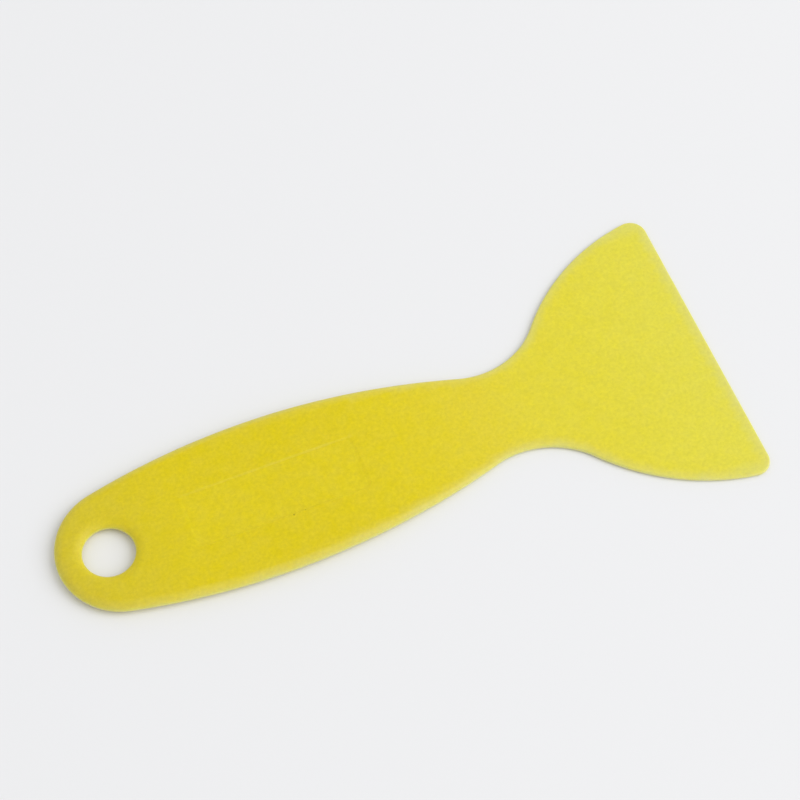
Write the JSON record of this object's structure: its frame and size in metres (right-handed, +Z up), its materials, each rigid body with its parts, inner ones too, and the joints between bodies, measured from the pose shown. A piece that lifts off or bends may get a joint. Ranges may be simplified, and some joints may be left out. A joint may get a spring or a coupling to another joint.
{
  "type": "squeegee applicator",
  "caption": "Flat one-piece plastic hand squeegee with a hang hole, a barrel-shaped handle, a narrow neck and a flared blade with a straight working edge.",
  "frame": {"origin": "under the middle of the tool's length and width, on its flat underside", "axes": "+X along the tool from the hang-hole end to the working edge, +Y to the left when looking along +X, +Z up, square to the flat faces"},
  "size_m": [0.13, 0.06, 0.0026],
  "materials": {
    "yellow_plastic": "satin injection-moulded polypropylene, slightly translucent, coloured through"
  },
  "bodies": {
    "root": {"squeegee_body": "yellow_plastic"}
  },
  "joints": []
}
